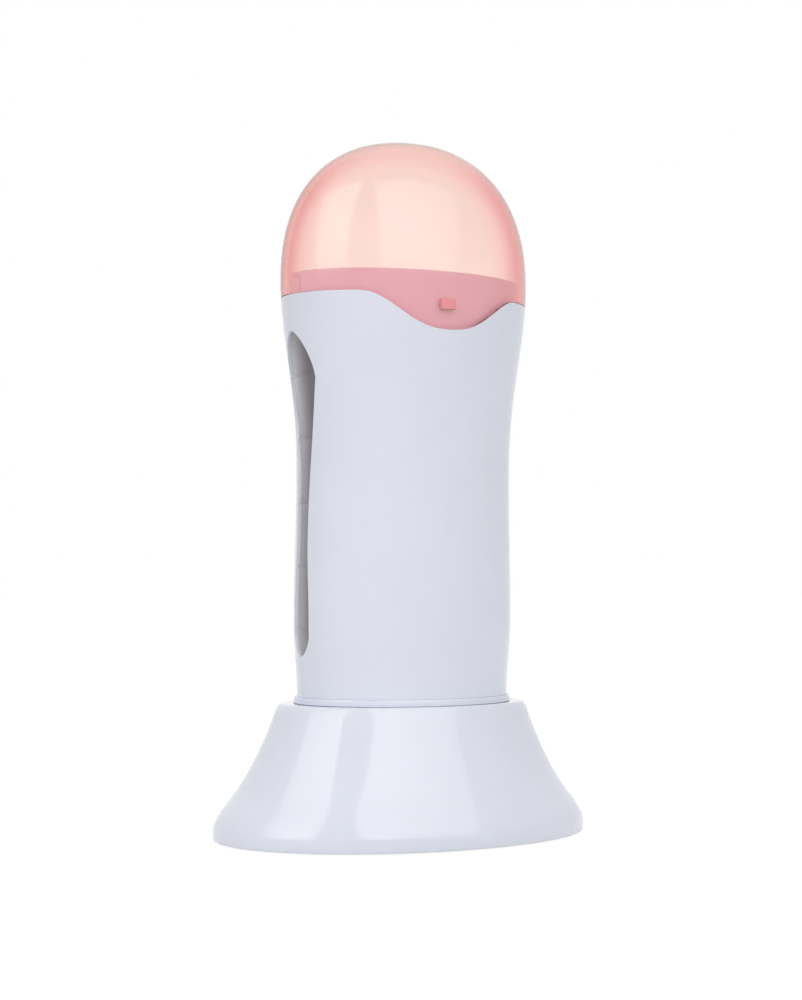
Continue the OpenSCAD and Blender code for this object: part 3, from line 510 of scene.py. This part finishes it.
outline = [Vector((MOUTH_R, 0, SEAM_Z + (MOUTH_Z - SEAM_Z) * i / 8)) for i in range(8)]
for i in range(40):
    across, up = [share(math.radians(90 * i / 40)) ** (2 / DOME_POWER) for share in (math.cos, math.sin)]
    outline.append(Vector((MOUTH_R * across, 0, MOUTH_Z + DOME_H * up)))
outline.append(Vector((0, 0, MOUTH_Z + DOME_H)))
bm = lathe(outline, 144)
for vert in bm.verts:
    if vert.co.z < MOUTH_Z - 1e-6:
        up = (vert.co.z - SEAM_Z) / (MOUTH_Z - SEAM_Z)
        low = seam_at(vert.co.x) + CAP_GAP
        z = low + (MOUTH_Z - low) * up
        swell = casing_r(z) / MOUTH_R
        vert.co = Vector((vert.co.x * swell, vert.co.y * swell, z))
    vert.co = Vector((vert.co.x, vert.co.y * OVAL, vert.co.z)) * MM
face_outwards(bm)
cap = new_piece("cap_dome", bm, cap_pink, "cap")
thicken(cap, CAP_WALL * MM)
soften(cap, 0.25 * MM)
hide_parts("cap")

bm = bmesh.new()
for side in (-1, 1):
    inner = OVAL * casing_r(CATCH_Z) - CAP_WALL
    pad = bmesh.ops.create_cube(bm, size=1)["verts"]
    for vert in pad:
        depth = inner - CATCH_T if vert.co.y * side < 0 else inner + CATCH_SUNK
        vert.co = Vector((CATCH_W * vert.co.x, side * depth, CATCH_Z + CATCH_H * vert.co.z)) * MM
    rims = {edge for vert in pad for edge in vert.link_edges}
    bmesh.ops.bevel(
        bm, geom=list(rims), offset=0.25 * MM, offset_type="OFFSET", affect="EDGES", segments=2, profile=0.5,
        material=-1)
bmesh.ops.recalc_face_normals(bm, faces=bm.faces)
catches = new_piece("cap_catches", bm, plastic("catch_pink", (0.85, 0.5, 0.6), 0.35), "cap")
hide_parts("cap")

# ---------------------------------------------------------------------------------------------
# Base. The flared stand: one glossy white moulding with a flat rim, a socket for the handset's
# foot and a round pad at the back, where the cord's bush goes in.

BASE_OVAL, SOCKET_OVAL = 0.69, 21.7 / 31.3
SKIRT_Z, RIM_Z = 0.6, 37.3
RIM_R, TOE_R, RIM_ROUND, TOE_ROUND = 37.0, 55.5, 1.2, 0.5
BASE_WALL, SOCKET_WALL = 2.6, 2.0
SOCKET_R, SOCKET_FLOOR, SOCKET_UNDER = 30.8, 13.5, 11.5
RIM_SLOPE, KNEE_SLOPE = 0.36, 0.86
INLET_Z, INLET_R, BUSH_R, BUSH_FLANGE_R = 10.6, 7.2, 5.15, 6.4
CONTACT_X, PIN_HOLE_R = 11, 2.05
FLOOR_BOSS_X, FLOOR_BOSS_R, FLOOR_BOSS_TOP = 18, 2.5, 14.8


def bend(a, c, b, t):
    return a * (1 - t) ** 2 + c * 2 * t * (1 - t) + b * t * t


KNEE = Vector((TOE_R - 4.2, 0, SKIRT_Z + 9.9))
TOE = Vector((TOE_R, 0, SKIRT_Z + 2.5))
RIM = Vector((RIM_R, 0, RIM_Z))
neck_z = (KNEE.x + KNEE_SLOPE * KNEE.z - RIM.x - RIM_SLOPE * RIM.z) / (KNEE_SLOPE - RIM_SLOPE)
NECK_PULL = Vector((RIM.x + RIM_SLOPE * (RIM.z - neck_z), 0, neck_z))
TOE_PULL = Vector((TOE_R, 0, KNEE.z - (TOE_R - KNEE.x) / KNEE_SLOPE))

base_white = plastic("base_white", (0.755, 0.787, 0.895), 0.09)

flare = [bend(TOE, TOE_PULL, KNEE, i / 12) for i in range(12)]
flare += [bend(KNEE, NECK_PULL, RIM, i / 28) for i in range(28)]
outline = [Vector((TOE_R - BASE_WALL, 0, SKIRT_Z)), Vector((TOE_R - TOE_ROUND, 0, SKIRT_Z))]
for degrees in (30, 60, 90):
    a = math.radians(degrees)
    outline.append(Vector((TOE_R, 0, SKIRT_Z)) - TOE_ROUND * Vector((1 - math.sin(a), 0, math.cos(a) - 1)))
outline += flare
for degrees in (20, 34, 48, 62, 76, 90):
    a = math.radians(degrees)
    outline.append(RIM - RIM_ROUND * Vector((1 - math.cos(a), 0, 1 - math.sin(a))))
outline += [Vector((r, 0, z)) for r, z in (
    (SOCKET_R + 0.5, RIM_Z), (SOCKET_R + 0.15, RIM_Z - 0.15), (SOCKET_R, RIM_Z - 0.5),
    (SOCKET_R, SOCKET_FLOOR), (0, SOCKET_FLOOR))]
inside = [Vector((r, 0, z)) for r, z in (
    (0, SOCKET_UNDER), (SOCKET_R + SOCKET_WALL, SOCKET_UNDER), (SOCKET_R + SOCKET_WALL, RIM_Z - 2.4))]
inside += [p - Vector((BASE_WALL, 0, 0)) for p in reversed(flare) if p.z < RIM_Z - 3]
bm = lathe(outline, 160, inside)
for vert in bm.verts:
    radius = math.hypot(vert.co.x, vert.co.y)
    oval = SOCKET_OVAL if radius < SOCKET_R + SOCKET_WALL + 0.1 and vert.co.z > 5 else BASE_OVAL
    vert.co = Vector((vert.co.x, vert.co.y * oval, vert.co.z)) * MM
bmesh.ops.recalc_face_normals(bm, faces=bm.faces)


def worked(bm, tool, operation="UNION"):
    """A new bmesh: the solid bm joined with, or cut by, the solid tool."""
    things = []
    for part in (bm, tool):
        mesh = bpy.data.meshes.new("work")
        part.to_mesh(mesh)
        part.free()
        things.append(bpy.data.objects.new("work", mesh))
        scene.collection.objects.link(things[-1])
    carve = things[0].modifiers.new("carve", "BOOLEAN")
    carve.solver = "EXACT"
    carve.operation = operation
    carve.object = things[1]
    result = bmesh.new()
    result.from_object(things[0], bpy.context.evaluated_depsgraph_get())
    for thing in things:
        bpy.data.meshes.remove(thing.data)
    bmesh.ops.remove_doubles(result, verts=result.verts, dist=0.001 * MM)
    return result


def round_bar(bm, radius, centre, length, lie=False):
    """Adds a round bar that stands up, or lies front to back, about its centre, in millimetres."""
    turn = Matrix.Rotation(math.radians(90), 4, "X") if lie else Matrix.Identity(4)
    bmesh.ops.create_cone(
        bm, cap_ends=True, segments=64, radius1=radius * MM, radius2=radius * MM, depth=length * MM,
        matrix=Matrix.Translation(Vector(centre) * MM) @ turn)


toe_b = TOE_R * BASE_OVAL
pads, holes = bmesh.new(), bmesh.new()
round_bar(pads, INLET_R, (0, toe_b - 4.3, INLET_Z), 8.6, lie=True)
round_bar(holes, BUSH_R, (0, toe_b - 4.3, INLET_Z), 9.6, lie=True)
round_bar(holes, BUSH_FLANGE_R, (0, toe_b - 0.4, INLET_Z), 2.8, lie=True)
for side in (-1, 1):
    middle = (SOCKET_UNDER + FLOOR_BOSS_TOP) / 2 + 0.3
    round_bar(pads, FLOOR_BOSS_R, (FLOOR_BOSS_X * side, 0, middle), FLOOR_BOSS_TOP - SOCKET_UNDER - 0.6)
    round_bar(holes, PIN_HOLE_R, (CONTACT_X * side, 0, (SOCKET_UNDER + SOCKET_FLOOR) / 2), 3)
bm = worked(worked(bm, pads), holes, "DIFFERENCE")
base = new_piece("base_flare", bm, base_white, "base")
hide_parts("base_shell")

# ---------------------------------------------------------------------------------------------
# Foot. The closed white cup at the handset's lower end, which stands in the socket. It is moulded
# in one piece with the lip that rests just over the rim, two screw posts and two contact holes.

FOOT_Z, LIP_Z, CUP_R, CUP_WALL, LIP_R, TIE_Y = 16, 37.34, 30.3, 2.35, 32.3, 12

profile = [
    (0, FOOT_Z), (CUP_R - 0.6, FOOT_Z), (CUP_R - 0.18, FOOT_Z + 0.18), (CUP_R, FOOT_Z + 0.6), (CUP_R, LIP_Z),
    (LIP_R - 0.05, LIP_Z), (LIP_R, LIP_Z + 0.05), (LIP_R, SHELL_Z - 0.25), (LIP_R - 0.08, SHELL_Z - 0.07),
    (LIP_R - 0.25, SHELL_Z), (CUP_R - CUP_WALL, SHELL_Z), (CUP_R - CUP_WALL, FOOT_Z + 2), (0, FOOT_Z + 2)]
bm = lathe([Vector((r, 0, z)) for r, z in profile], 144)
for vert in bm.verts:
    radius = math.hypot(vert.co.x, vert.co.y)
    behind = FOOT_R - radius
    vert.co = Vector((vert.co.x, vert.co.y * (WAIST_B - behind) / (WAIST_R - behind), vert.co.z)) * MM
bmesh.ops.recalc_face_normals(bm, faces=bm.faces)
posts, holes = bmesh.new(), bmesh.new()
for side in (-1, 1):
    round_bar(posts, 4.1, (0, TIE_Y * side, FOOT_Z + 11.5), 21)
    round_bar(holes, 1.65, (0, TIE_Y * side, FOOT_Z + 12), 24)
    round_bar(holes, 2.85, (0, TIE_Y * side, FOOT_Z + 1.4), 3.2)
    round_bar(holes, 4.05, (CONTACT_X * side, 0, FOOT_Z + 0.4), 1.2)
    round_bar(holes, 1.55, (CONTACT_X * side, 0, FOOT_Z + 1.4), 4)
bm = worked(worked(bm, posts), holes, "DIFFERENCE")
foot = new_piece("foot_cover", bm, casing_white, "handset")
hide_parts("bottom_cover")

# ---------------------------------------------------------------------------------------------
# Collar, sleeve, inlet bush and inner pieces. These keep the CAD model's solids and get the finish
# of their real material, and the three that show from outside are smoothed. The collar is the
# exception: its white is painted darker and pinker, as painted shade for the dim pink light under the cap.


def metal(name, colour, roughness, lines=(40.0, 40.0, 900.0)):
    """Bare metal with the fine lines that drawing or rolling leaves."""
    material = bpy.data.materials.new(name)
    material.use_nodes = True
    nodes, links = material.node_tree.nodes, material.node_tree.links
    shader = nodes["Principled BSDF"]
    shader.inputs["Metallic"].default_value = 1.0
    place = nodes.new("ShaderNodeTexCoord")
    stretch = nodes.new("ShaderNodeMapping")
    stretch.inputs["Scale"].default_value = lines
    links.new(place.outputs["Object"], stretch.inputs["Vector"])
    grain = nodes.new("ShaderNodeTexNoise")
    grain.inputs["Scale"].default_value = 1.0
    grain.inputs["Detail"].default_value = 5
    links.new(stretch.outputs["Vector"], grain.inputs["Vector"])
    tone = nodes.new("ShaderNodeValToRGB")
    tone.color_ramp.elements[0].color = (*[c * 0.86 for c in colour], 1)
    tone.color_ramp.elements[1].color = (*colour, 1)
    links.new(grain.outputs["Fac"], tone.inputs["Fac"])
    links.new(tone.outputs["Color"], shader.inputs["Base Color"])
    rough = nodes.new("ShaderNodeMapRange")
    rough.inputs["To Min"].default_value = roughness * 0.8
    rough.inputs["To Max"].default_value = roughness * 1.3
    links.new(grain.outputs["Fac"], rough.inputs["Value"])
    links.new(rough.outputs["Result"], shader.inputs["Roughness"])
    return material


def finish(material, *names):
    """Gives CAD nodes their material."""
    for name in names:
        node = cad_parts[name]
        node.data.materials.clear()
        node.data.materials.append(material)


def smooth_copy(name, node, material, body):
    """A copy of a CAD node with its seams closed and its curved faces smooth."""
    bm = bmesh.new()
    bm.from_mesh(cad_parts[node].data)
    bmesh.ops.remove_doubles(bm, verts=bm.verts, dist=0.002 * MM)
    piece = new_piece(name, bm, material, body, 30)
    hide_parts(node)


# Painted shade: the collar is white, but this colour is darker and pinker for the dim light that reaches it
# through the pink cap.
collar_white = plastic("collar_white", (0.77, 0.67, 0.8), 0.4, grain=0.03)
smooth_copy("collar_ring", "collar", collar_white, "handset")
sleeve_aluminium = metal("sleeve_aluminium", (0.6, 0.59, 0.62), 0.5, (30.0, 30.0, 1200.0))
smooth_copy("bay_sleeve", "heat_sleeve", sleeve_aluminium, "handset")
finish(plastic("seat_dark", (0.04, 0.04, 0.045), 0.5, grain=0.2), "cartridge_seat")
finish(metal("heater_ceramic", (0.5, 0.5, 0.52), 0.5), "heater_front", "heater_back")
finish(plastic("film_amber", (0.62, 0.27, 0.03), 0.25), "heater_films")
finish(metal("clip_steel", (0.6, 0.6, 0.62), 0.28), "heater_clips")
finish(plastic("fuse_cream", (0.75, 0.7, 0.55), 0.6, grain=0.15), "thermal_fuse")
finish(plastic("lead_brown", (0.16, 0.05, 0.02), 0.4), "handset_lead_live", "fuse_lead", "base_lead_live")
finish(plastic("lead_blue", (0.02, 0.08, 0.4), 0.4), "handset_lead_neutral", "base_lead_neutral")
finish(metal("contact_brass", (0.83, 0.62, 0.28), 0.22),
       "handset_contacts", "contact_tags", "pin_live", "pin_neutral")
finish(metal("screw_steel", (0.6, 0.6, 0.63), 0.3),
       "shell_screws", "tie_screws", "block_screws", "base_screws")
finish(metal("spring_steel", (0.62, 0.62, 0.64), 0.2), "spring_live", "spring_neutral")
finish(plastic("block_dark", (0.03, 0.03, 0.035), 0.5, grain=0.2), "contact_block")
finish(plastic("plate_grey", (0.62, 0.63, 0.67), 0.5, grain=0.25), "base_plate")
bush_white = plastic("bush_white", (0.7, 0.71, 0.75), 0.55, grain=0.2)
smooth_copy("inlet_bush", "cord_bush", bush_white, "base")
finish(plastic("terminal_cream", (0.82, 0.8, 0.7), 0.5, grain=0.1), "terminal_block")
finish(plastic("foot_rubber", (0.05, 0.05, 0.053), 0.75, grain=0.5), "feet")

# Each spring gets a mesh of its own.
for name, x in (("live", -CONTACT_X), ("neutral", CONTACT_X)):
    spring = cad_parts["spring_" + name]
    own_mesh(spring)
